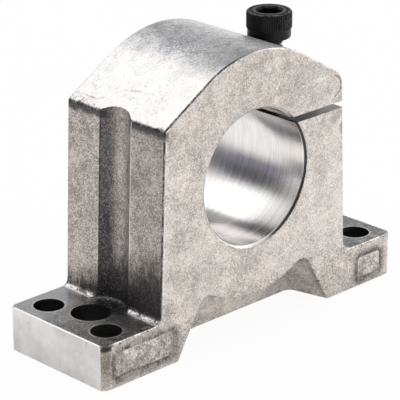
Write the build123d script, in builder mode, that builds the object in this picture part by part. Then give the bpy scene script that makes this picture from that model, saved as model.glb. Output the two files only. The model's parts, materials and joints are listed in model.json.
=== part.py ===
from build123d import *
import os
from math import cos, radians, sin, tan

# Shaft support block: one aluminium casting that stands on two feet and holds a shaft in a
# split bore, with the cap screw that closes the saw cut above the bore.
# Millimetres. +X runs from foot to foot, +Y along the bore and +Z up. The origin is the
# middle of the underside, where the block is bolted down.

# Casting
block_depth = 29.5
body_wall = 13.0  # metal round the bore, up to the crown and out to the feet
foot_reach = 16.0  # from a side wall to the machined end of its foot
foot_height = 10.0
foot_corner_radius = 2.0
end_stock = 0.3  # metal that milling takes off each end of the casting
wall_draft = 2.2  # degrees that each side wall leans in
shoulder_angle = 31.0  # degrees that each shoulder falls away from the crown
left_shoulder_radius = 1.2
jaw_shoulder_radius = 4.0
cast_edge_radius = 0.35
left_foot_fillet = 1.6
right_foot_fillet = 2.6

# Tool grooves down the side walls
groove_radius = 7.0
groove_depth = 1.85
groove_root_fillet = 0.8

# Pockets under the bore, at the front and at the rear
web_thickness = 9.9
pocket_side_wall = 5.0  # beside a pocket, at the underside
pocket_lean = 30.0  # degrees from upright
pocket_draft = 12.0  # degrees
barrel_wall = 11.5  # metal left under the bore
pocket_corner_radius = 3.0
pocket_root_fillet = 2.0

# Bore and saw cut
bore_radius = 15.0
bore_height = 35.0
bore_chamfer = 0.5
slit_width = 1.5
slit_rise = 10.0  # from the bore's axis to the middle of the cut

# Holes in the feet
outer_hole_radius = 3.3
outer_hole_inset = 6.0  # from the end of the foot
outer_hole_spacing_y = 18.0
centre_hole_radius = 4.25
centre_hole_inset = 9.8  # from the end of the foot

# Clamp screw and its seat
screw_bore_wall = 0.7  # metal between the bore and the screw
screw_radius = 3.0
screw_length = 20.0  # under the head
screw_tip_chamfer = 0.6
screw_head_radius = 5.0
screw_head_height = 6.0
screw_head_chamfer = 0.5
socket_width = 5.0
socket_depth = 3.0
socket_turn = 13.0  # degrees that the screw was left turned
jaw_thickness = 7.5  # from the saw cut up to the screw's seat
seat_clearance = 0.5  # round the head
jaw_hole_clearance = 0.3
thread_clearance = 0.05
thread_depth = 15.0  # below the saw cut
screw_backed_out = 5.5  # how far the head stands off its seat

crown_radius = bore_radius + body_wall
body_width = 2 * crown_radius  # across the side walls, at the top of the feet
body_top = bore_height + crown_radius
base_length = body_width + 2 * foot_reach
pocket_width = body_width - 2 * pocket_side_wall  # at the underside
outer_hole_spacing_x = base_length - 2 * outer_hole_inset
centre_hole_spacing = base_length - 2 * centre_hole_inset
slit_height = bore_height + slit_rise
screw_x = bore_radius + screw_bore_wall + screw_radius
seat_height = slit_height + slit_width / 2 + jaw_thickness
pocket_depth = (block_depth - web_thickness) / 2
overrun = 10.0  # how far a cutting shape runs past the metal
touching = 0.01  # two things nearer than this are in the same place
front = Plane.XZ.offset(block_depth / 2)
rear = Plane(front.origin * -1, x_dir=(-1, 0, 0), z_dir=(0, 1, 0))

with BuildPart() as support_block:
    # Body: drafted side walls, two shoulders and a crown about the bore's axis
    with BuildSketch(Plane.XZ) as body_profile:
        with BuildLine():
            crown = CenterArc((0, bore_height), crown_radius, 90 - shoulder_angle, shoulder_angle)
            wall_line = PolarLine(
                (body_width / 2, foot_height), body_top, angle=90 + wall_draft, mode=Mode.PRIVATE
            )
            shoulder = IntersectingLine(crown @ 0, (crown % 0) * -1, wall_line)
            Polyline(shoulder @ 1, (body_width / 2, foot_height), (body_width / 2, 0), (0, 0))
            mirror(about=Plane.YZ)
        make_face()
        jaw_corner = shoulder @ 1
        left_corner = Vector(-jaw_corner.X, jaw_corner.Y)
        fillet(body_profile.vertices().sort_by_distance(jaw_corner)[0], jaw_shoulder_radius)
        fillet(body_profile.vertices().sort_by_distance(left_corner)[0], left_shoulder_radius)
    extrude(amount=block_depth / 2, both=True)

    # Feet, with rounded corners and a fillet where each side wall rises from them
    with BuildSketch(Plane.XY):
        RectangleRounded(base_length + 2 * end_stock, block_depth, foot_corner_radius)
    extrude(amount=foot_height)
    foot_joins = (
        support_block.edges()
        .filter_by(Axis.Y)
        .filter_by_position(Axis.Z, foot_height - touching, foot_height + touching)
        .sort_by(Axis.X)[1:3]
    )
    fillet(foot_joins[0], left_foot_fillet)
    fillet(foot_joins[1], right_foot_fillet)

    # Cast edges: the front and rear outlines above the underside are slightly round
    outlines = (
        support_block.faces()
        .filter_by(Plane.XZ)
        .sort_by(SortBy.AREA)[-2:]
        .edges()
        .filter_by(lambda edge: edge.center().Z > foot_height - touching)
    )
    fillet(outlines, cast_edge_radius)

    # Both ends are milled flat, through the rounded corners
    with BuildSketch(Plane.XY):
        Rectangle(base_length + 2 * overrun, block_depth + overrun)
        Rectangle(base_length, block_depth + 2 * overrun, mode=Mode.SUBTRACT)
    extrude(amount=foot_height, mode=Mode.SUBTRACT)

    # Tool grooves: round channels that lean in with the side walls and stop at the feet
    for side in (-1, 1):
        groove_x = side * (body_width / 2 + groove_radius - groove_depth)
        with BuildSketch(Plane.XY.offset(foot_height)):
            with Locations((groove_x, 0)):
                Circle(groove_radius)
        lean = (-side * sin(radians(wall_draft)), 0, cos(radians(wall_draft)))
        extrude(amount=body_top, dir=lean, mode=Mode.SUBTRACT)
    groove_roots = (
        support_block.edges()
        .filter_by(GeomType.CIRCLE)
        .filter_by_position(Axis.Z, foot_height - touching, foot_height + touching)
        .filter_by(lambda edge: abs(edge.radius - groove_radius) < touching)
    )
    fillet(groove_roots, groove_root_fillet)

    # Pockets: flat-sided hollows with a roof that follows the bore
    for face in (front, rear):
        with BuildSketch(face) as pocket:
            with BuildLine():
                roof_circle = CenterArc(
                    (0, bore_height), bore_radius + barrel_wall, 180, 180, mode=Mode.PRIVATE
                )
                slant = Vector(-sin(radians(pocket_lean)), cos(radians(pocket_lean)))
                toe = Vector(pocket_width / 2 + overrun * tan(radians(pocket_lean)), -overrun)
                side_line = IntersectingLine(toe, slant, roof_circle)
                roof_end = side_line @ 1
                roof_middle = (0, bore_height - bore_radius - barrel_wall)
                ThreePointArc(roof_end, roof_middle, (-roof_end.X, roof_end.Y))
                Polyline((-roof_end.X, roof_end.Y), (-toe.X, toe.Y), toe)
            make_face()
            fillet(pocket.vertices().group_by(Axis.Y)[-1], pocket_corner_radius)
        extrude(amount=-pocket_depth, taper=pocket_draft, mode=Mode.SUBTRACT)
        web_face = face.z_dir.Y * web_thickness / 2
        pocket_roots = (
            support_block.edges()
            .filter_by_position(Axis.Y, web_face - touching, web_face + touching)
            .filter_by(lambda edge: edge.center().Z > touching)
        )
        fillet(pocket_roots, pocket_root_fillet)
        pocket_rims = (
            support_block.edges()
            .filter_by_position(Axis.Y, face.origin.Y - touching, face.origin.Y + touching)
            .filter_by_position(Axis.X, -pocket_width / 2, pocket_width / 2)
            .filter_by(lambda edge: touching < edge.center().Z < bore_height - bore_radius)
        )
        fillet(pocket_rims, cast_edge_radius)

    # Bore, with a small chamfer at both mouths
    with BuildSketch(Plane.XZ):
        with Locations((0, bore_height)):
            Circle(bore_radius)
    extrude(amount=block_depth, both=True, mode=Mode.SUBTRACT)
    bore_rims = support_block.edges().filter_by(GeomType.CIRCLE).filter_by(
        lambda edge: abs(edge.radius - bore_radius) < 0.001 and edge.arc_center.Z > foot_height
    )
    chamfer(bore_rims, bore_chamfer)

    # Saw cut from the bore out through the right-hand wall
    with BuildSketch(Plane.XZ):
        with Locations((0, slit_height)):
            Rectangle(body_width, slit_width, align=(Align.MIN, Align.CENTER))
    extrude(amount=block_depth, both=True, mode=Mode.SUBTRACT)

    # Seat and clearance hole in the jaw, tapped hole below the saw cut
    with BuildSketch(Plane.XY.offset(seat_height)):
        with Locations((screw_x, 0)):
            Circle(screw_head_radius + seat_clearance)
    extrude(amount=body_top - seat_height, mode=Mode.SUBTRACT)
    with BuildSketch(Plane.XY.offset(slit_height)):
        with Locations((screw_x, 0)):
            Circle(screw_radius + jaw_hole_clearance)
    extrude(amount=seat_height - slit_height, mode=Mode.SUBTRACT)
    with BuildSketch(Plane.XY.offset(slit_height)):
        with Locations((screw_x, 0)):
            Circle(screw_radius + thread_clearance)
    extrude(amount=-slit_width / 2 - thread_depth, mode=Mode.SUBTRACT)

    # Fixing holes through the feet
    with BuildSketch(Plane.XY):
        with GridLocations(outer_hole_spacing_x, outer_hole_spacing_y, 2, 2):
            Circle(outer_hole_radius)
        with GridLocations(centre_hole_spacing, 1, 2, 1):
            Circle(centre_hole_radius)
    extrude(amount=foot_height, mode=Mode.SUBTRACT)
support_block.part.label = "support_block"

# Clamp screw: socket head cap screw, backed out of its seat as delivered
head_base = seat_height + screw_backed_out
with BuildPart() as clamp_screw:
    with BuildSketch(Plane.XY.offset(head_base)):
        with Locations((screw_x, 0)):
            Circle(screw_head_radius)
    extrude(amount=screw_head_height)
    chamfer(clamp_screw.edges().group_by(Axis.Z)[-1], screw_head_chamfer)
    with BuildSketch(Plane.XY.offset(head_base)):
        with Locations((screw_x, 0)):
            Circle(screw_radius)
    extrude(amount=-screw_length)
    chamfer(clamp_screw.edges().group_by(Axis.Z)[0], screw_tip_chamfer)
    with BuildSketch(Plane.XY.offset(head_base + screw_head_height)):
        with Locations((screw_x, 0)):
            RegularPolygon(socket_width / 2, 6, major_radius=False, rotation=socket_turn)
    extrude(amount=-socket_depth, mode=Mode.SUBTRACT)
clamp_screw.part.label = "clamp_screw"

os.makedirs("parts", exist_ok=True)
export_step(support_block.part, "parts/support_block.step")
export_step(clamp_screw.part, "parts/clamp_screw.step")
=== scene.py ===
"""Shaft support block: finishes for the casting and its machined faces, a cap screw with a knurled head
and a cut thread, and a pale studio. The casting, the screw and the marks on them are in millimetres, and
the studio and the camera in metres."""

import json
from functools import reduce
from math import cos, pi, radians, sin, tan
from operator import mul

import bpy
import numpy as np
from mathutils import Matrix, Vector


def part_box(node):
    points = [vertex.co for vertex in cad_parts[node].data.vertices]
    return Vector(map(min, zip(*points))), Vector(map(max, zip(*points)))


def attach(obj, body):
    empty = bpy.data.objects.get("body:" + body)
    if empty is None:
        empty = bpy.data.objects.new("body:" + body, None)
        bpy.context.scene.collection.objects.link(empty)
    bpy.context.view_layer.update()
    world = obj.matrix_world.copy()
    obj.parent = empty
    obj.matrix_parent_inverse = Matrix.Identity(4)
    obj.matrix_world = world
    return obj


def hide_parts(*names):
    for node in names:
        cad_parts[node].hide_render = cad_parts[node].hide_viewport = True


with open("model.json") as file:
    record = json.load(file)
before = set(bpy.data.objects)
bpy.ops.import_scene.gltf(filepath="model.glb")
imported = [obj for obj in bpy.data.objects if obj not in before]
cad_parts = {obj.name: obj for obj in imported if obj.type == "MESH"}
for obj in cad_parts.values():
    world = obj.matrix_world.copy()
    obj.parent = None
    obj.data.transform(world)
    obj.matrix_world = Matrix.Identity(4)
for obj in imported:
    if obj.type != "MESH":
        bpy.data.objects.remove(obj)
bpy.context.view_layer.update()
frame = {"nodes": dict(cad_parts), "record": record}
mounts = {mount["name"]: mount for mount in frame["record"]["mounts"]}

MM = 0.001

# The casting, in millimetres
block_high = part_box("support_block")[1] / MM
half_length = block_high.x
half_depth = block_high.y
foot_height = 10.0
foot_start = 25.0  # out from the middle, inside the side wall
body_half_width = 28.0
bore_radius = mounts["shaft_bore"]["dims"]["r_mm"]
bore_height = mounts["shaft_bore"]["pos_m"][2] / MM
bore_chamfer = 0.5
slit_height = 45.0
slit_width = 1.5
slit_start = 10.0  # out from the middle, inside the bore
pocket_half_width = 24.0  # just outside its walls
pocket_height = 20.0  # just over its roof
groove_radius = 7.0
groove_axis = 33.15  # out from the middle, at the top of the feet
groove_half_width = 4.74
wall_draft = radians(2.2)
crown_radius = 28.0
shoulder_fall = radians(31.0)
crown_end = crown_radius * sin(shoulder_fall)  # out from the middle, where a shoulder begins
outer_hole_radius = mounts["outer_foot_holes"]["dims"]["hole_r_mm"]
outer_hole_x = mounts["outer_foot_holes"]["dims"]["spacing_x_mm"] / 2
outer_hole_y = mounts["outer_foot_holes"]["dims"]["spacing_y_mm"] / 2
centre_hole_radius = mounts["centre_foot_holes"]["dims"]["hole_r_mm"]
centre_hole_x = mounts["centre_foot_holes"]["dims"]["spacing_x_mm"] / 2
end_rounding = 0.22  # of the edges between a foot's top and its milled end
skim = 0.01  # blur of the borders of the machined faces
# Middle, half width and half height of the blank plates on the front of the feet
plates = ((-32.6, 4.9, 8.2, 2.7), (36.5, 4.3, 3.7, 2.5))
plate_corner = 0.9
plate_height = 0.2
# Blots on the front: middle, half width and half height, then colour and strength
front_blots = (
    ((20.2, 5.0, 2.2, 5.0), (0.3, 0.24, 0.19), 0.25),
    ((24.6, 42.6, 2.4, 1.6), (0.3, 0.24, 0.2), 0.4),
    ((20.0, 52.2, 2.2, 0.5), (0.95, 0.92, 0.9), 0.5),
    ((22.2, 55.3, 2.0, 1.4), (0.9, 0.87, 0.85), 0.4),
    ((18.4, 8.3, 0.35, 0.25), (0.05, 0.045, 0.04), 0.9),
    ((20.1, 5.1, 0.35, 0.25), (0.05, 0.045, 0.04), 0.9),
    ((-43.2, 4.2, 1.2, 4.2), (0.2, 0.15, 0.11), 0.5),
    ((-41.4, 4.8, 0.4, 3.4), (0.07, 0.06, 0.055), 0.6),
    # A painted highlight on a lump at the corner of the left foot
    ((-40.6, 8.6, 1.3, 0.9), (0.92, 0.87, 0.82), 0.55),
    ((-39.4, 9.5, 0.6, 0.3), (0.05, 0.045, 0.04), 0.8),
    ((-42.8, 9.3, 1.4, 0.9), (0.03, 0.028, 0.025), 0.95),
    ((26.5, 39.8, 0.7, 3.6), (0.2, 0.16, 0.13), 0.45),
)
jaw_arc = (23.4, 49.7, 2.45)  # middle and radius of a hairline at the jaw's corner

# The clamp screw, in millimetres
screw_low, screw_high = (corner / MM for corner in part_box("clamp_screw"))
screw_x = (screw_low.x + screw_high.x) / 2
head_radius = (screw_high.x - screw_low.x) / 2
head_height = 6.0
head_base = screw_high.z - head_height
head_rim = 0.6  # rounding round its top
head_low_rim = 0.4  # rounding round its underside
knurl_ribs = 60
knurl_depth = 0.16
knurl_end = 3.7  # below the top
knurl_run_out = 0.25
plain_radius = 4.78  # of the head below its knurl
seat_gap = 0.02  # under the head when it is down on its seat
socket_width = 5.0
socket_depth = 3.0
socket_cone = 0.6  # that the drill leaves in the socket's floor
socket_mouth = 0.45  # under the top, where the hexagon starts to open out
socket_turn = -17 / 60  # of a sixth of a turn
shank_radius = 3.0
shank_length = 20.0
neck_fillet = 0.28
neck_cut = 0.1  # that the neck is narrower than the shank
tip_radius = 2.35
thread_start = 0.9  # under the head
thread_run_in = 0.8
thread_pitch = 1.0
thread_depth = 0.6
thread_rings = 10  # to a pitch
rim_rings = 6
knurl_rings = 9
crease = radians(28.0)  # beyond which an edge of the screw stays sharp
# The knurl's ribs carry painted highlights on the side that this angle points to
lit_rib_side = radians(-44.0)  # of the knurl, from +X

# Colours of bare metal, each from its darkest to its brightest
skin_tones = ((0.28, 0.255, 0.235), (0.92, 0.85, 0.8))
rubbed_tones = ((0.352, 0.357, 0.375), (0.93, 0.92, 0.918))
shoulder_tones = ((0.56, 0.54, 0.525), (0.84, 0.812, 0.795))
foot_top_tones = ((0.25, 0.25, 0.256), (0.6, 0.596, 0.59))
milled_tones = ((0.6, 0.575, 0.56), (0.87, 0.85, 0.835))
bored_tones = ((0.66, 0.64, 0.625), (0.85, 0.83, 0.82))
sawn_tones = ((0.4, 0.385, 0.37), (0.62, 0.6, 0.58))
drilled_tones_and_shade = ((0.05, 0.05, 0.05), (0.13, 0.125, 0.12))
steel_tones = ((0.004, 0.004, 0.004), (0.26, 0.25, 0.24))

# Colours of bright marks, and of painted highlights and painted light
# Painted highlights on the milled edges, the cast edges and the bore's chamfers
milled_edge_highlight = (0.95, 0.94, 0.93)
edge_highlight = (0.95, 0.93, 0.9)
chamfer_highlight = (0.95, 0.94, 0.92)
drilled_rim = (0.92, 0.91, 0.9)
foot_spark = (0.9, 0.89, 0.88)
foot_chip = (0.9, 0.87, 0.84)
# Painted light: a sheen towards the rear of the feet's tops, and paler pockets and lower front
foot_painted_sheen = (0.88, 0.875, 0.87)
pocket_painted_light = (0.93, 0.88, 0.84)
front_painted_light = (0.95, 0.89, 0.85)

# Colours of dull and dark marks, and of painted shade, shadow and dark reflections
# Painted shade on the front near the crown, on the side walls with their darker skin, on the crown's front,
# in the bore and on its chamfers
front_shade = (0.3, 0.27, 0.25)
wall_tone_and_shade = (0.2, 0.165, 0.14)
crown_shade = (0.2, 0.2, 0.21)
bore_shade = (0.26, 0.25, 0.24)
chamfer_shade = (0.3, 0.28, 0.27)
nick_shade = (0.2, 0.18, 0.17)
# Residue with painted shade in the corners, a painted dark reflection along the left shoulder's corner, and
# residue with painted shade on the feet by the grooves
corner_soil_and_shade = (0.035, 0.035, 0.038)
band_dark_reflection = (0.055, 0.057, 0.066)
foot_soil_and_shade = (0.06, 0.06, 0.06)
sunk_soil = (0.06, 0.05, 0.045)
foot_edge_soil = (0.14, 0.12, 0.11)
# Darker surround of the blank plates
plate_surround = (0.05, 0.045, 0.04)
plate_wear = (0.12, 0.1, 0.09)
# A painted shadow of the screw's head on the crown, and a painted dark reflection on the bore's chamfer
head_painted_shadow = (0.06, 0.06, 0.065)
chamfer_dark_reflection = (0.035, 0.032, 0.03)
flow_red = (0.36, 0.26, 0.22)
hairline_brown = (0.14, 0.1, 0.09)
corner_brown = (0.15, 0.115, 0.09)
seam_brown = (0.12, 0.085, 0.06)
mouth_brown = (0.25, 0.2, 0.17)

# The studio
white = (1.0, 1.0, 1.0)
floor_cloth = (0.9, 0.89, 0.88)
low_wall = (0.25, 0.24, 0.31)
high_wall = (0.125, 0.13, 0.14)
floor_reach = 4.0
floor_drop = 0.00002  # under the feet

# The camera
view_azimuth = radians(44.262)
view_elevation = radians(21.522)
view_roll = radians(-0.119)
view_distance = 0.47574
view_target = Vector((-0.00227, 0.0, 0.02644))
sensor = 36.0
focal_length = 2205.7 * sensor / 400
nearest_seen = 0.01


class Value:
    """A number or colour that varies over a surface. Arithmetic on Values adds the Math nodes for it."""

    def __init__(self, finish, socket):
        self.finish = finish
        self.socket = socket

    def math(self, operation, *others):
        return self.finish.math(operation, self, *others)

    def __add__(self, other):
        return self.math("ADD", other)

    def __radd__(self, other):
        return self.math("ADD", other)

    def __sub__(self, other):
        return self.math("SUBTRACT", other)

    def __rsub__(self, other):
        return self.finish.math("SUBTRACT", other, self)

    def __mul__(self, other):
        return self.math("MULTIPLY", other)

    def __rmul__(self, other):
        return self.math("MULTIPLY", other)

    def __truediv__(self, other):
        return self.math("DIVIDE", other)

    def __abs__(self):
        return self.math("ABSOLUTE")

    def at_least(self, other):
        return self.math("MAXIMUM", other)

    def at_most(self, other):
        return self.math("MINIMUM", other)

    def swing(self, width):
        """A noise made to lie either side of zero, and to be so wide in all."""
        return (self - 0.5) * width


class Finish:
    """The nodes of one material, or of the world."""

    def __init__(self, owner):
        owner.use_nodes = True
        self.tree = owner.node_tree
        self.tree.nodes.clear()

    def node(self, kind, settings, sockets, *outputs):
        """Adds a node: its settings first, then the values or links of its sockets. Gives the outputs that
        are named."""
        made = self.tree.nodes.new("ShaderNode" + kind)
        for name, setting in settings.items():
            setattr(made, name, setting)
        for key, given in sockets.items():
            if isinstance(given, Value):
                self.tree.links.new(given.socket, made.inputs[key])
            else:
                made.inputs[key].default_value = given
        values = [Value(self, made.outputs[key]) for key in outputs]
        return values[0] if len(values) == 1 else values

    def math(self, operation, *values):
        return self.node("Math", {"operation": operation}, dict(enumerate(values)), "Value")

    def metal(self, colour, roughness, metallic, height, specular=0.5):
        """Ends a material: its shader, with a normal from a height in millimetres."""
        normal = self.node("Bump", {}, {"Height": height, "Distance": MM, "Strength": 1.0}, "Normal")
        sockets = {
            "Base Color": colour,
            "Roughness": roughness,
            "Metallic": metallic,
            "Normal": normal,
            "Specular IOR Level": specular,
        }
        shader = self.node("BsdfPrincipled", {}, sockets, "BSDF")
        self.node("OutputMaterial", {}, {"Surface": shader})


def opaque(colour):
    """A written colour with full alpha, as a socket takes it. A colour that varies stays as it is."""
    return (*colour, 1.0) if isinstance(colour, tuple) else colour


def rise(value, low, high):
    """0 below low, 1 above high, and a smooth step between them. With low above high it falls instead."""
    sockets = {"Value": value, "From Min": low, "From Max": high}
    return value.finish.node("MapRange", {"interpolation_type": "SMOOTHSTEP"}, sockets, "Result")


def near(value, middle, outer, inner):
    """1 where a value is nearer to the middle than inner, and 0 where it is further off than outer."""
    return rise(abs(value - middle), outer, inner)


def where(*masks):
    """1 where every mask is 1: the masks' product."""
    return reduce(mul, masks)


def blend(factor, first, second):
    """Colours: the first where factor is 0, the second where it is 1."""
    sockets = {0: factor, 6: opaque(first), 7: opaque(second)}
    return factor.finish.node("Mix", {"data_type": "RGBA"}, sockets, 2)


def lean(factor, first, second):
    """Numbers: the first where factor is 0, the second where it is 1."""
    return factor.finish.node("Mix", {"data_type": "FLOAT"}, {0: factor, 2: first, 3: second}, 0)


def paint(colour, marks):
    """Lays marks over a colour one by one. A mark is its strength over the surface and its colour."""
    for strength, mark_colour in marks:
        colour = blend(strength, colour, mark_colour)
    return colour


def noise(vector, scale, detail=2.0, roughness=0.5):
    """Noise from 0 to 1. The scale is its coarsest waves to a millimetre."""
    sockets = {"Vector": vector, "Scale": scale, "Detail": detail, "Roughness": roughness}
    return vector.finish.node("TexNoise", {}, sockets, "Fac")


def stretch(vector, x, y, z):
    """The vector with its three parts multiplied by x, y and z."""
    return vector.finish.node("VectorMath", {"operation": "MULTIPLY"}, {0: vector, 1: (x, y, z)}, 0)


def parts(vector):
    """The vector's three parts, as numbers."""
    return vector.finish.node("SeparateXYZ", {}, {"Vector": vector}, "X", "Y", "Z")


def length(a, b):
    """Length of the flat vector whose parts are a and b."""
    return (a * a + b * b).math("SQRT")


class Surface:
    """Where a point of the part lies, in millimetres, and which way it faces."""

    def __init__(self, finish):
        place, facing = finish.node("TexCoord", {}, {}, "Object", "Normal")
        self.finish = finish
        self.point = stretch(place, 1 / MM, 1 / MM, 1 / MM)
        self.x, self.y, self.z = parts(self.point)
        self.nx, self.ny, self.nz = parts(facing)


class Casting(Surface):
    """The casting's surface: three noises, from fine to broad, that roughen its marks, and the distances
    and masks that many marks share."""

    def __init__(self, finish):
        super().__init__(finish)
        self.grit = noise(self.point, 3.6, 2.0, 0.6)
        self.speckle = noise(self.point, 1.9, 3.0, 0.6)
        self.mottle = noise(self.point, 0.5, 3.0, 0.6)

        # Distances: out from the middle, in from a wall's foot by its draft, and from the axes
        self.x_out = abs(self.x)
        self.y_out = abs(self.y)
        self.drafted = (self.z - foot_height) * tan(wall_draft)
        self.bore_reach = length(self.x, self.z - bore_height)
        self.groove_reach = length(self.x_out - (groove_axis - self.drafted), self.y)
        self.depth = self.depth_in_section()

        # Masks: the front, what faces up, the front and rear cast edges, and the side walls
        self.front = rise(self.ny, -0.9, -0.97)
        self.upward = rise(self.nz, 0.5, 0.75)
        self.cast_edge = rise(self.y_out, half_depth - 0.45, half_depth - 0.35)
        self.flank = rise(self.x_out, 20.0, 22.0)
        above_foot = rise(self.z, foot_height + 0.3, foot_height + 1.6)
        self.wall = where(self.flank, above_foot, rise(abs(self.nx), 0.35, 0.6))

    def depth_in_section(self):
        """Depth under the body's outline: under crown or left shoulder, and inside the left wall."""
        fallen = self.x * sin(shoulder_fall) - (self.z - bore_height) * cos(shoulder_fall)
        under_crown = crown_radius - self.bore_reach
        on_crown = rise(self.x, -crown_end - 0.2, -crown_end + 0.2)
        under_top = lean(on_crown, crown_radius + fallen, under_crown)
        return under_top.at_most(self.x + body_half_width - self.drafted)

    def patches(self, amount):
        """The mottle, broken up by so much of the speckle."""
        return self.mottle + self.speckle.swing(amount)

    def ragged(self, mottled, speckled):
        """What makes an edge ragged: so much of the mottle and of the speckle, either side of zero."""
        return self.mottle.swing(mottled) + self.speckle.swing(speckled)


def tumbled_skin(skin):
    """Cast skin after tumbling: fine speckle, soft mottling and small bright dings. Upward faces are rubbed
    smoother and greyer, and side walls have more contrast. Gives colour, roughness and height."""
    point, upward = skin.point, skin.upward
    cloud = noise(point, 0.14, 2.0)
    drift = noise(point, 0.3, 3.0, 0.65)
    cells = skin.finish.node("TexVoronoi", {}, {"Vector": point, "Scale": 2.4}, "Color")
    grain = parts(cells)[0]
    threads = near(noise(point, 2.4, 2.0), 0.5, 0.045, 0.0)
    dings = where(near(noise(point, 0.9, 1.0), 0.5, 0.02, 0.0), rise(noise(point, 1.6), 0.52, 0.6))
    pits = rise(noise(point, 1.3, 1.0), 0.3, 0.25)
    pepper = where(rise(noise(point, 2.6, 1.0), 0.36, 0.3), rise(drift, 0.56, 0.44))
    pepper = where(pepper, rise(skin.z, 44.0, 54.0))
    glints = rise(noise(point, 3.0, 1.0), 0.6, 0.68) * 0.4 - 0.14

    # Where the skin differs: the sloping shoulders and crown, the side walls and the lower front
    sloping = where(upward, rise(skin.nz, 0.96, 0.87))
    sideways = rise(abs(skin.nx), 0.75, 0.95)
    wall_contrast = where(sideways, 0.8 + rise(skin.y, -3.0, -7.0) * 0.9)
    lower_front = where(skin.front, rise(skin.z, 50.0, 24.0)) * 0.25

    fine = skin.grit.swing(1.5) + skin.speckle.swing(0.65) + grain.swing(0.28) + (threads - 0.18) * 0.3
    broad = skin.mottle.swing(0.6) + cloud.swing(0.55) + drift.swing(0.55)
    tone = fine * (1 + wall_contrast - sloping * 0.5 + upward * 0.3 + lower_front)
    tone = tone + broad * (1 + wall_contrast * 0.7 + upward * 0.35 - sloping * 0.1 + lower_front)
    tone = tone + where(sideways, glints) + dings * 0.5 - pits * 0.3 - pepper * 0.35 + sloping * 0.05
    tone = rise(tone, -0.66, 0.54)

    rubbed = blend(sloping, blend(tone, *rubbed_tones), blend(tone, *shoulder_tones))
    # Painted shade: the front of the crown, left of its middle, is darker
    crown_left = where(rise(skin.x, -17.0, -7.0), rise(skin.x, 0.5, -4.0))
    shaded = where(upward, rise(skin.y, -3.0, -11.0), crown_left)
    rubbed = blend(shaded * 0.36, rubbed, crown_shade)
    colour = blend(upward, blend(tone, *skin_tones), rubbed)
    roughness = 0.4 + skin.mottle.swing(0.15) - dings * 0.1
    height = skin.grit * 0.03 + skin.speckle * 0.04 + skin.mottle * 0.05 + dings * 0.02 - pits * 0.04
    return colour, roughness, height


def broad_shades(skin):
    """Side walls are a little darker than the faces: a darker skin, with painted shade that grows towards
    the front. The pockets are paler with painted light. The front is paler towards its lower right with
    painted light, and darker near the crown with painted shade."""
    x, y, z = skin.x, skin.y, skin.z
    side_wall = where(rise(abs(skin.nx), 0.8, 0.95), rise(z, foot_height, foot_height + 0.5))
    rear_strip = rise(y, 3.0, 7.0) * (rise(z, 50.0, 20.0) * 0.15 - 0.04)
    pocket = where(rise(skin.y_out, half_depth - 0.45, half_depth - 0.75), rise(z, 0.02, 0.1))
    pocket = where(pocket, rise(skin.x_out, pocket_half_width, pocket_half_width - 0.5))
    pocket = where(pocket, rise(z, pocket_height, pocket_height - 0.5))
    lower = where(skin.front, rise(z, 50.0, 24.0), rise(z, foot_height, foot_height + 4.0))
    upper = where(skin.front, rise(z, 40.0, 52.0))
    return (
        (side_wall * (0.24 + rise(y, -3.0, -7.0) * 0.23 + rear_strip), wall_tone_and_shade),
        (pocket * 0.13, pocket_painted_light),
        (lower * (0.13 + rise(x, 0.0, 18.0) * 0.1), front_painted_light),
        (upper * 0.1, front_shade),
    )


def groove_soil_and_shade(skin, wander):
    """Residue and painted shade in a tool groove: strongest at its rear edge and at its foot, with a line
    along that edge.
    """
    in_groove = where(rise(skin.groove_reach, groove_radius + 0.06, groove_radius + 0.02), skin.flank)
    rear_part = rise(skin.y + skin.mottle.swing(0.6), 0.0, 3.6)
    low_part = rise(skin.z + wander, 36.0, 12.0)
    rear_line = where(skin.wall, near(skin.y, groove_half_width, 0.25, 0.05), rise(skin.z, 50.0, 47.0))
    return where(in_groove, 0.16 + rear_part * 0.7 + low_part * 0.34) + rear_line * 0.5


def fillet_soil_and_shade(skin):
    """Residue and painted shade round the foot of a groove, and blots of residue along the fillets of the
    feet.
    """
    up = skin.z - foot_height
    on_fillet = where(rise(up, 2.8, 1.6), rise(up, 0.03, 0.2))
    by_groove = rise(skin.y_out - groove_half_width, 1.0, -0.6)
    by_groove = where(on_fillet, by_groove, rise(skin.x_out, 30.0, 28.0))
    blots = where(rise(skin.speckle + skin.mottle.swing(0.8), 0.47, 0.56), rise(abs(skin.ny), 0.6, 0.3))
    blots = where(on_fillet, blots, rise(skin.x_out, 31.0, 30.0))
    return by_groove * 0.8 + blots * 0.9


def groove_bottom_shade(skin):
    """Broken dark line of painted shade where the bottom of a groove meets its foot."""
    line = rise(skin.groove_reach, groove_radius + 0.15, groove_radius + 0.05)
    line = where(line, rise(skin.z, foot_height + 1.4, foot_height + 0.6), rise(skin.x_out, 31.0, 30.0))
    return where(line, 0.94 - rise(skin.speckle, 0.52, 0.62) * 0.35)


def edge_dark_reflection(skin):
    """Broken painted dark reflection along the rounded cast edges of the left half, most at the front."""
    edge = where(skin.cast_edge, rise(skin.depth + skin.speckle.swing(0.35), 0.36, 0.16))
    edge = where(edge, rise(skin.x, 7.0, -9.0), 1 - rise(skin.y, 0.0, 1.0) * 0.8)
    edge = where(edge, rise(skin.z, foot_height + 2.0, foot_height + 5.0))
    broken = 0.3 + rise(skin.z, 44.0, 51.0) * 0.3 + rise(skin.patches(0.9), 0.4, 0.56) * 0.6
    return edge * broken.at_most(0.95)


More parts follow.
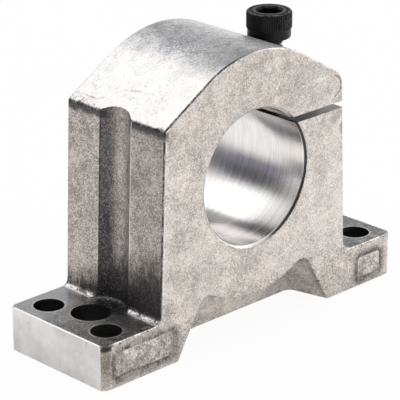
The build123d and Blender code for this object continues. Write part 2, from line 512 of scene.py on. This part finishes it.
def soil_and_shade_on_skin(skin):
    """Darkening in the corners of the casting: residue that tumbling leaves, with painted shade in the
    recesses and a painted dark reflection along the rounded cast edges. Gives its strength from 0 to 1.
    """
    streaks = noise(stretch(skin.point, 1.3, 1.3, 0.22), 1.0, 3.0, 0.6)
    wander = streaks.swing(14.0) + skin.mottle.swing(5.0)
    wall_foot = where(skin.wall, rise(skin.z + skin.y * 0.4 + wander, 22.5, 12.5))
    left_rear_corner = where(rise(skin.x, -24.0, -25.4), rise(skin.y, 6.5, 11.0), rise(skin.z, 50.5, 51.5))
    rear_blots = where(left_rear_corner, rise(skin.speckle, 0.52, 0.62))
    # The darkening is residue and painted shade together
    soil = wall_foot * 0.88 + groove_soil_and_shade(skin, wander) + rear_blots * 0.7 + fillet_soil_and_shade(skin)
    bare = rise(skin.grit + skin.speckle.swing(0.6), 0.42, 0.85)
    soil = soil.at_most(0.95) * (1 - bare * 0.3)
    return soil.at_least(groove_bottom_shade(skin)).at_least(edge_dark_reflection(skin))


def corner_band(skin):
    """Dark blurred band along the corner between the left shoulder and its side wall: a painted dark
    reflection on the corner's rounding.
    """
    height = skin.z + skin.ragged(2.4, 1.4)
    band = where(rise(height, 49.4, 50.7), rise(height, 52.1, 51.4))
    return where(band, rise(skin.x, -25.0, -25.8), 0.88 + skin.grit.swing(0.9))


def flow_line(skin):
    """Faint reddish line that the metal's flow left across the left shoulder. Its distance down the
    shoulder rises by a smooth step towards the rear."""
    down = (skin.x + crown_end) / -cos(shoulder_fall)
    front_end = (skin.y - 2.3).at_most(0.0)
    middle = 7.4 + rise(skin.y, 2.3, 8.0) * 4.25 + front_end * 0.22
    broken = rise(noise(skin.point, 1.1, 2.0), 0.36, 0.6)
    on_shoulder = where(rise(skin.nz, 0.7, 0.8), rise(skin.y, -3.5, -1.0))
    return where(near(down, middle, 0.38, 0.05), broken, on_shoulder)


def jaw_hairline(skin):
    """Broken dark hairline on the front, an arc round the jaw's corner just inside its edge."""
    x, z, radius = jaw_arc
    reach = length(skin.x - x, skin.z - z) + skin.speckle.swing(0.5)
    on_arc = where(near(reach, radius, 0.3, 0.08), rise(skin.x, x + 0.2, x + 0.8), skin.front)
    return where(on_arc, rise(skin.mottle + skin.grit.swing(0.8), 0.34, 0.52))


def highlight_lines(skin):
    """Painted highlights: bright lines along the front edge of each tool groove, and one beside the front
    edge of the left wall.
    """
    groove_edge = where(rise(abs(skin.nx), 0.8, 0.95), near(skin.y, -groove_half_width, 0.2, 0.08))
    left_edge = where(near(skin.depth, 0.55, 0.25, 0.05), skin.front, rise(skin.x, -24.0, -25.0))
    return (
        (where(groove_edge, rise(skin.z, 14.0, 24.0)) * 0.8, edge_highlight),
        (where(left_edge, rise(skin.mottle, 0.35, 0.55)) * 0.6, edge_highlight),
    )


def front_marks(skin):
    """A brown stain down the rounded front corner of the left foot, blots on the front, each an oval with a
    ragged edge and one of them a painted highlight on a lump, and a brown seam just inside the right-hand
    rim of the front pocket."""
    x, y, z = skin.x, skin.y, skin.z
    stain = where(rise(x, -41.7, -42.6), rise(skin.ny, -0.2, -0.4))
    stain = where(stain, rise(skin.patches(1.2) + z * 0.035, 0.6, 0.78))
    marks = [(stain * 0.7, corner_brown)]
    forward = rise(y, -5.2, -6.0)
    for (middle_x, middle_z, half_width, half_height), colour, strength in front_blots:
        reach = length((x - middle_x) / half_width, (z - middle_z) / half_height)
        blot = rise(reach + skin.ragged(1.6, 1.0), 1.1, 0.4)
        marks.append((where(blot, forward) * strength, colour))
    inside_rim = where(rise(y + skin.speckle.swing(2.0), -13.0, -14.0), rise(skin.ny, -0.8, -0.5))
    right_hand = where(rise(x, 12.5, 14.5), rise(x, 26.0, 25.0), rise(z, 18.0, 17.0), rise(z, 0.1, 0.8))
    seam = where(inside_rim, right_hand, rise(skin.patches(1.2), 0.42, 0.6))
    marks.append((seam * 0.65, seam_brown))
    return marks


def plate_depth(skin, plate):
    """How far a point of the front lies inside a plate with rounded corners: the corner radius less the
    distance to the plate's inner rectangle. Its edge is ragged."""
    x, z, half_width, half_height = plate
    across = (abs(skin.x - x) - (half_width - plate_corner)).at_least(0.0)
    upward = (abs(skin.z - z) - (half_height - plate_corner)).at_least(0.0)
    return plate_corner - length(across, upward) + skin.ragged(0.5, 0.4)


def blank_plate(skin, plate):
    """Blank plate on the front of a foot. Gives its relief, and its marks: a darker surround in broken
    patches, and wear on it."""
    depth = plate_depth(skin, plate)
    raised = where(rise(depth, -0.15, 0.25), skin.front)
    around = where(rise(depth, -2.6, -0.1), 1 - rise(depth, 0.0, 0.25), skin.front)
    broken = 0.35 + rise(skin.patches(0.9), 0.38, 0.62) * 0.55
    worn = where(raised, rise(skin.patches(0.9), 0.62, 0.4))
    return raised * plate_height, ((around * broken, plate_surround), (worn * 0.45, plate_wear))


def rim_marks(skin):
    """Brown patches round the mouths of the bore, dark breaks along the upper front and rear edges of the
    feet, and a painted shadow of the screw's head on the crown along the inner edge of its seat."""
    round_mouth = rise(skin.bore_reach, bore_radius + 1.1, bore_radius + 0.6)
    foot_edge = where(rise(skin.x_out, 28.6, 29.6), rise(skin.z, foot_height - 0.5, foot_height - 0.35))
    seat_reach = length(skin.x - screw_x, skin.y) + skin.speckle.swing(1.6)
    # Painted shadow of the screw's head on the crown, along the inner edge of its seat
    oil = where(rise(seat_reach, 8.4, 6.6), rise(skin.x, 15.2, 12.8), rise(skin.nz, 0.7, 0.8))
    return (
        (where(round_mouth, rise(skin.patches(0.9), 0.45, 0.62)) * 0.5, mouth_brown),
        (where(foot_edge, skin.cast_edge, rise(skin.patches(1.2), 0.56, 0.42)) * 0.6, foot_edge_soil),
        (oil * 0.7, head_painted_shadow),
    )


def milled_face(skin):
    """Milled end or underside: pale and cloudy, with faint upright cutter marks, a scatter of small nicks
    and a painted highlight along the top edge."""
    streak = noise(stretch(skin.point, 1.0, 1.6, 0.14), 1.0, 3.0, 0.6)
    fine = noise(stretch(skin.point, 1.0, 7.0, 0.6), 1.0, 2.0)
    cloud = noise(skin.point, 0.085, 2.0, 0.5)
    smudge = noise(skin.point, 0.45, 3.0, 0.6)
    nick = rise(noise(skin.point, 1.1, 1.0), 0.25, 0.21)
    tone = rise(streak * 0.05 + fine * 0.06 + smudge * 0.25 + cloud * 0.64, 0.33, 0.7)
    # Painted highlight along the top edge
    top_edge = rise(skin.z, foot_height - 0.25, foot_height - 0.15)
    colour = paint(blend(tone, *milled_tones), ((nick * 0.5, nick_shade), (top_edge, milled_edge_highlight)))
    rounded = (skin.z - (foot_height - end_rounding)).at_least(0.0)
    height = fine * 0.004 + streak * 0.004 + cloud * 0.05 - nick * 0.03 - rounded
    return colour, 0.33 + cloud.swing(0.24), height


def foot_top(skin, outer_reach, centre_reach):
    """Top of a foot: smoother and darker than the rest of the skin, with pale flecks, a painted sheen
    towards the rear, residue and painted shade by the groove, a painted highlight at the end, and bright
    ragged rims where the drill broke the skin."""
    blot = noise(skin.point, 0.5, 3.0, 0.65)
    fleck = noise(skin.point, 2.2, 2.0)
    cloud = noise(skin.point, 0.22, 2.0)
    tone = rise(blot * 0.7 + cloud.swing(0.7) + fleck.swing(1.2) + skin.grit.swing(1.4), 0.0, 0.75)
    # Painted sheen towards the rear
    rearward = where(rise(skin.y, 0.0, 12.0), 0.3 + rise(skin.x, 10.0, -10.0) * 0.3)
    # Residue and painted shade by the groove
    by_groove = rise(length(skin.x_out - body_half_width, skin.y) + blot.swing(3.0), 6.6, 3.6)
    spark = rise(noise(skin.point, 1.5, 1.0) + cloud.swing(0.15), 0.61, 0.67)
    front_edge = rise(skin.y, -12.6, -13.6)
    broken = blot + fleck.swing(0.6)
    chipped = where(front_edge, rise(broken, 0.5, 0.66))
    sunk = where(front_edge, rise(broken, 0.44, 0.3))
    # Painted highlight at the end
    end = rise(skin.x_out, half_length - 0.3, half_length - 0.15)
    ragged = skin.speckle.swing(0.7)
    outer_rim = rise(outer_reach + ragged, outer_hole_radius + 0.54, outer_hole_radius + 0.3)
    centre_rim = rise(centre_reach + ragged, centre_hole_radius + 0.4, centre_hole_radius + 0.18)
    centre_rim = where(centre_rim, rise(skin.x_out, centre_hole_x - 1.0, centre_hole_x + 1.5))
    marks = (
        (rearward, foot_painted_sheen),
        (by_groove * 0.78, foot_soil_and_shade),
        (spark * 0.8, foot_spark),
        (chipped * 0.7, foot_chip),
        (sunk * 0.8, sunk_soil),
        (end, milled_edge_highlight),
        (outer_rim.at_least(centre_rim) * 0.85, drilled_rim),
    )
    rounded = (skin.x_out - (half_length - end_rounding)).at_least(0.0)
    colour = paint(blend(tone, *foot_top_tones), marks)
    return colour, 0.3 + blot.swing(0.2), fleck * 0.02 + blot * 0.04 - rounded


def bored_wall(skin):
    """Bore: bright, with the fine rings that the boring tool leaves and a few broader ones. It has painted
    shade low on the left and high on the right."""
    fine = noise(stretch(skin.point, 0.05, 5.0, 0.05), 1.0, 3.0, 0.7)
    broad = noise(stretch(skin.point, 0.14, 0.9, 0.14), 1.0, 2.0)
    tone = rise(fine * 0.6 + broad * 0.4, 0.3, 0.7)
    low_left = where(rise(skin.z, 24.5, 21.0), rise(skin.x, 7.0, 2.0))
    high_right = where(rise(skin.z, 39.5, 42.2), rise(skin.x, 8.0, 11.0))
    colour = blend(low_left * 0.22 + high_right * 0.5, blend(tone, *bored_tones), bore_shade)
    low_right = where(rise(skin.x, 3.0, 8.0), rise(skin.z, 31.0, 25.0))
    roughness = 0.16 + broad.swing(0.1) + rise(skin.y, 3.0, 12.0) * 0.12 + low_right * 0.06
    return colour, roughness, fine * 0.012 + broad * 0.004


def sawn_wall(skin):
    """Walls of the saw cut: grey, with fine marks along the cut."""
    marks = noise(stretch(skin.point, 0.5, 5.0, 1.0), 1.0, 2.0)
    return blend(rise(marks, 0.3, 0.7), *sawn_tones), 0.38, marks * 0.01


def drilled_wall(skin):
    """Walls of the drilled holes: dark with oil and painted shade."""
    marks = noise(stretch(skin.point, 0.3, 0.3, 3.0), 1.0, 2.0)
    return blend(marks, *drilled_tones_and_shade), 0.5, marks * 0.01


def machined_faces(skin, bored):
    """The tops of the feet and the machined faces: where each lies, then its colour, roughness and
    height."""
    z = skin.z
    outer_reach = length(skin.x_out - outer_hole_x, skin.y_out - outer_hole_y)
    centre_reach = length(skin.x_out - centre_hole_x, skin.y)
    on_foot = where(near(z, foot_height, skim * 3, skim), rise(skin.nz, 0.9, 0.95))
    on_foot = where(on_foot, rise(skin.x_out, foot_start, foot_start + 0.1))
    end = rise(skin.x_out, half_length - skim * 2, half_length - skim)
    underside = rise(z, skim * 2, skim)
    slit = near(z, slit_height, slit_width / 2 + skim * 2, slit_width / 2 + skim)
    slit = where(slit, rise(skin.x, slit_start, slit_start + 0.1), rise(abs(skin.nz), 0.8, 0.9))
    in_outer = rise(outer_reach, outer_hole_radius + skim * 3, outer_hole_radius + skim * 2)
    in_centre = rise(centre_reach, centre_hole_radius + skim * 3, centre_hole_radius + skim * 2)
    in_foot = where(rise(z, foot_height + skim * 2, foot_height + skim), rise(z, 0.05, 0.06))
    milled = milled_face(skin)
    return (
        (on_foot, foot_top(skin, outer_reach, centre_reach)),
        (end, milled),
        (underside, milled),
        (bored, bored_wall(skin)),
        (slit, sawn_wall(skin)),
        (where(in_foot, in_outer.at_least(in_centre)), drilled_wall(skin)),
    )


def chamfer_marks(skin, chamfered):
    """The chamfers round the bore have a painted highlight low on the left, painted shade at the bottom and
    a painted dark reflection on the right.
    """
    x, z = skin.x, skin.z
    highlighted = where(chamfered, rise(x, 2.0, -3.0), rise(z, 40.0, 34.0))
    dull = where(chamfered, rise(x, -5.0, 2.0), rise(z, 30.0, 24.0))
    darkened_right = where(chamfered, rise(x, 2.0, 6.0), rise(z + skin.mottle.swing(3.0), 47.5, 44.5))
    return (highlighted * 0.8, chamfer_highlight), (dull * 0.3, chamfer_shade), (darkened_right * 0.92, chamfer_dark_reflection)


def casting_finish():
    """Tumbled cast skin with its marks, and over it the machined faces by their places on the block."""
    material = bpy.data.materials.new("cast_aluminium")
    skin = Casting(Finish(material))
    colour, roughness, height = tumbled_skin(skin)
    colour = paint(colour, broad_shades(skin))
    # Dark marks: residue with painted shade, a painted dark reflection along the left shoulder's corner,
    # the flow line and the hairline
    residue = (
        (soil_and_shade_on_skin(skin), corner_soil_and_shade),
        (corner_band(skin), band_dark_reflection),
        (flow_line(skin) * 0.75, flow_red),
        (jaw_hairline(skin) * 0.85, hairline_brown),
    )
    colour = paint(colour, residue)
    colour = paint(colour, highlight_lines(skin))
    colour = paint(colour, front_marks(skin))
    for plate in plates:
        relief, marks = blank_plate(skin, plate)
        colour = paint(colour, marks)
        height = height + relief
    colour = paint(colour, rim_marks(skin))

    bore_edge = bore_radius + bore_chamfer
    bored = rise(skin.bore_reach + skin.ragged(0.3, 0.5), bore_edge + 0.02, bore_edge - 0.04)
    for mask, (face_colour, face_roughness, face_height) in machined_faces(skin, bored):
        colour = blend(mask, colour, face_colour)
        roughness = lean(mask, roughness, face_roughness)
        height = lean(mask, height, face_height)
    chamfered = where(bored, rise(skin.bore_reach, bore_radius + 0.03, bore_radius + 0.1))
    roughness = lean(chamfered, roughness, 0.55)
    colour = paint(colour, chamfer_marks(skin, chamfered))
    skin.finish.metal(colour, roughness, 1.0, height)
    return material


def black_finish():
    """Black oxide on steel, worn lighter along the rim and round the socket's mouth, with painted
    highlights on the tops of the ribs of one side and flecks on the top of the head."""
    material = bpy.data.materials.new("black_steel")
    surface = Surface(Finish(material))
    patch = noise(surface.point, 1.2, 3.0, 0.6)
    grain = noise(surface.point, 7.0, 2.0)
    reach = length(surface.x - screw_x, surface.y)
    head_top = head_base + head_height
    top = rise(surface.z, head_top - 0.7, head_top - 0.4)
    rim = where(top, near(reach, head_radius - 0.42, 0.3, 0.05))
    mouth = where(top, near(reach, 3.35, 0.5, 0.15), rise(surface.nz, 0.6, 0.9))
    toward_lit_ribs = (surface.x - screw_x) * cos(lit_rib_side) + surface.y * sin(lit_rib_side)
    # Painted highlights on the tops of the knurl's ribs on one side, laid in with the wear
    ribs = where(rise(reach, head_radius - 0.09, head_radius - 0.01), rise(patch, 0.35, 0.65))
    ribs = where(ribs, 0.03 + rise(toward_lit_ribs, 0.5, 4.0) * 0.6)
    worn = where(rim + mouth * 0.4, rise(patch + grain.swing(0.8), 0.4, 0.72)) + ribs
    flecks = where(top, rise(grain + patch.swing(0.5), 0.62, 0.78))
    worn = (worn + flecks * 0.3).at_most(1.0)
    roughness = 0.33 + patch.swing(0.3) + grain.swing(0.2) + where(top, 1 - mouth) * 0.3
    height = grain * 0.02 + patch * 0.05
    surface.finish.metal(blend(worn, *steel_tones), roughness, worn * 0.8, height, specular=0.2)
    return material


def turned_mesh(name, rings):
    """Closed mesh from rings of points about an upright axis, a row for each ring, between two middle
    points. The rings go from the first middle point outwards and on to the last."""
    count, around = rings.shape[:2]
    points = np.concatenate([rings.reshape(-1, 3), [rings[0].mean(axis=0), rings[-1].mean(axis=0)]])
    first_middle, last_middle = count * around, count * around + 1
    row = np.arange(count - 1)[:, None] * around
    column = np.arange(around)
    after = (column + 1) % around
    quads = np.stack([row + column, row + after, row + around + after, row + around + column], axis=-1)
    last_row = (count - 1) * around
    first_fan = np.stack([np.full(around, first_middle), after, column], axis=-1)
    last_fan = np.stack([np.full(around, last_middle), last_row + column, last_row + after], axis=-1)
    faces = [*first_fan.tolist(), *quads.reshape(-1, 4).tolist(), *last_fan.tolist()]
    mesh = bpy.data.meshes.new(name)
    mesh.from_pydata(points.tolist(), [], faces)
    mesh.shade_smooth()
    mesh.set_sharp_from_angle(angle=crease)
    piece = bpy.data.objects.new(name, mesh)
    bpy.context.scene.collection.objects.link(piece)
    return piece


def screw_profile(hex_corner):
    """Rows of the cap screw's profile, from the socket's floor over the head and down the thread to the
    tip: height, round radius, and the shares of the hexagon, the knurl and the thread."""
    top = head_base + head_height
    floor = top - socket_depth
    tip = head_base - shank_length
    rows = []

    def ring(height, radius, hexed=0.0, knurled=0.0, threaded=0.0):
        rows.append((height, radius, hexed, knurled, threaded))

    # Socket: the drill's cone, the hexagon and its worn mouth
    ring(floor - socket_cone, 0.05)
    ring(floor, hex_corner * 0.9, hexed=0.6)
    ring(floor, hex_corner, hexed=1.0)
    ring(top - socket_mouth, hex_corner, hexed=1.0)
    ring(top - 0.05, hex_corner + 0.12)
    ring(top, hex_corner + 0.2)

    # Head: flat top, rounded rim, knurl, plain band and rounded underside
    ring(top, head_radius - 0.75)
    quarter = np.linspace(0.0, pi / 2, rim_rings)
    for angle in quarter:
        height = top - head_rim * (1 - cos(angle))
        ring(height, head_radius - head_rim * (1 - sin(angle)), knurled=sin(angle) ** 6)
    for height in np.linspace(top - head_rim, top - knurl_end, knurl_rings)[1:]:
        ring(height, head_radius, knurled=1.0)
    ring(top - knurl_end - knurl_run_out, plain_radius)
    underside = head_base + seat_gap
    for angle in quarter:
        height = underside + head_low_rim * (1 - sin(angle))
        ring(height, plain_radius - head_low_rim * (1 - cos(angle)))
    ring(underside, shank_radius + neck_fillet)

    # Neck, thread and tip
    ring(head_base - 0.1, shank_radius)
    ring(head_base - 0.5, shank_radius - neck_cut)
    thread_top = head_base - thread_start
    count = int((thread_top - tip) * thread_rings / thread_pitch)
    for height in np.linspace(thread_top, tip, count):
        cut = min(1.0, (head_base - 0.7 - height) / thread_run_in)
        ring(height, min(shank_radius, tip_radius + height - tip), threaded=cut)
    ring(tip, tip_radius - 0.15)
    return rows


def screw_rings():
    """Rings of the cap screw: a hexagon, a knurl and a thread worked into its profile. The hexagon's radius
    is half its width over the cosine of the angle from the middle of a flat. The knurl takes off a triangle
    wave round the head. The thread takes off a wave of height plus turn, cut flat at its crest."""
    turn = np.arange(knurl_ribs * 4) / (knurl_ribs * 4)
    hex_corner = socket_width / 2 / cos(pi / 6)
    height, radius, hexed, knurled, threaded = np.array(screw_profile(hex_corner)).T[:, :, None]
    flat = (turn * 6 + 0.5 - socket_turn) % 1.0 - 0.5
    hexagon = socket_width / 2 / np.cos(flat * pi / 3)
    knurl = np.abs((turn * knurl_ribs) % 1.0 - 0.5) * 2
    wave = np.abs((height / thread_pitch + turn) % 1.0 - 0.5) * 2
    cut = np.clip(wave * 1.25 - 0.1, 0.0, 1.0)
    reach = radius * (1 - hexed + hexed * hexagon / hex_corner)
    reach = reach - knurled * knurl_depth * (1 - knurl)
    thread_reach = np.minimum(reach, shank_radius - thread_depth * cut)
    reach = reach * (1 - threaded) + thread_reach * threaded
    angle = turn * 2 * pi
    height = np.broadcast_to(height, reach.shape)
    return np.stack([screw_x + reach * np.cos(angle), reach * np.sin(angle), height], axis=-1) * MM


def make_screw():
    """The dressed cap screw, in the CAD screw's place."""
    piece = turned_mesh("cap_screw", screw_rings())
    piece.data.materials.append(black_finish())
    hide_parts("clamp_screw")
    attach(piece, "screw")


def floor_finish():
    """White cloth that keeps a faint shadow. The camera sees it nearly white, and it glows for the metal's
    reflections: brighter behind the block, with painted shade far off to the left and near the block on its
    right."""
    material = bpy.data.materials.new("floor")
    place = Surface(Finish(material))
    finish = place.finish
    seen, mirrored = finish.node("LightPath", {}, {}, "Is Camera Ray", "Is Glossy Ray")
    rear = rise(place.y, 15.0, 35.0)
    away = length(place.x, place.y)
    # Painted shade in the glow that the metal reflects
    far_left = where(rise(away, 50.0, 450.0), rise(place.x, 50.0, -50.0))
    shaded = where(rise(place.x, 10.0, 50.0), rise(away, 170.0, 90.0))
    level = 1.0 + where(rear, 0.25 - far_left * 0.8 - shaded * 0.5)
    level = level * (1 - seen) + seen
    glowing = seen * 0.94 + mirrored * (0.3 + rear * 0.4)
    cloth = finish.node("BsdfDiffuse", {}, {"Color": opaque(floor_cloth)}, "BSDF")
    glow = finish.node("Emission", {}, {"Color": level, "Strength": 1.0}, "Emission")
    shader = finish.node("MixShader", {}, {0: glowing, 1: cloth, 2: glow}, "Shader")
    finish.node("OutputMaterial", {}, {"Surface": shader})
    return material


def make_floor():
    """Wide floor that the feet stand on."""
    mesh = bpy.data.meshes.new("floor")
    corners = [(x * floor_reach, y * floor_reach, 0) for x, y in ((-1, -1), (1, -1), (1, 1), (-1, 1))]
    mesh.from_pydata(corners, [], [(0, 1, 2, 3)])
    mesh.materials.append(floor_finish())
    floor = bpy.data.objects.new("floor", mesh)
    floor.location.z = -floor_drop
    bpy.context.scene.collection.objects.link(floor)


def make_world():
    """A sky of pale and dark zones, as a studio has. The camera sees it white."""
    world = bpy.data.worlds.new("studio")
    bpy.context.scene.world = world
    finish = Finish(world)
    direction = finish.node("TexCoord", {}, {}, "Generated")
    x, y, z = parts(direction)
    high = rise(z, 0.46, 0.63)
    softbox = where(high, rise(x, 0.3, 0.17), rise(y, -0.35, 0.05))
    right_card = where(rise(x, -0.1, 0.4), rise(y, 0.15, -0.25))
    behind = where(rise(x, 0.0, 0.4), rise(y, 0.1, 0.4))
    level = high * 0.22 + rise(z, 0.78, 0.86) * 0.1 + softbox * 1.55
    level = level + right_card * (1.6 + rise(z, 0.5, 0.0) * 0.7)
    level = level + behind * (0.22 + rise(z, 0.36, -0.02) * 1.4)
    light = blend(level.at_most(1.0), blend(rise(z, 0.12, 0.3), low_wall, high_wall), white)
    seen = finish.node("LightPath", {}, {}, "Is Camera Ray")
    strength = level.at_least(1.0) * (1 - seen) + seen
    sockets = {"Color": blend(seen, light, white), "Strength": strength}
    glow = finish.node("Background", {}, sockets, "Background")
    finish.node("OutputWorld", {}, {"Surface": glow})


def make_camera():
    """Camera at the photograph's place: its line of sight from azimuth and elevation, then a small roll."""
    sight = Vector((
        sin(view_azimuth) * cos(view_elevation),
        cos(view_azimuth) * cos(view_elevation),
        -sin(view_elevation),
    ))
    level = Vector((cos(view_azimuth), -sin(view_azimuth), 0.0))
    upright = level.cross(sight)
    right = level * cos(view_roll) + upright * sin(view_roll)
    up = upright * cos(view_roll) - level * sin(view_roll)
    data = bpy.data.cameras.new("camera")
    data.sensor_width = sensor
    data.sensor_fit = "HORIZONTAL"
    data.lens = focal_length
    data.clip_start = nearest_seen
    camera = bpy.data.objects.new("camera", data)
    turn = Matrix((right, up, -sight)).transposed().to_4x4()
    camera.matrix_world = Matrix.Translation(view_target - sight * view_distance) @ turn
    bpy.context.scene.collection.objects.link(camera)
    bpy.context.scene.camera = camera


make_camera()
make_floor()
make_world()
block = frame["nodes"]["support_block"]
block.data.materials.clear()
block.data.materials.append(casting_finish())
make_screw()
bpy.context.scene.view_settings.view_transform = "Standard"
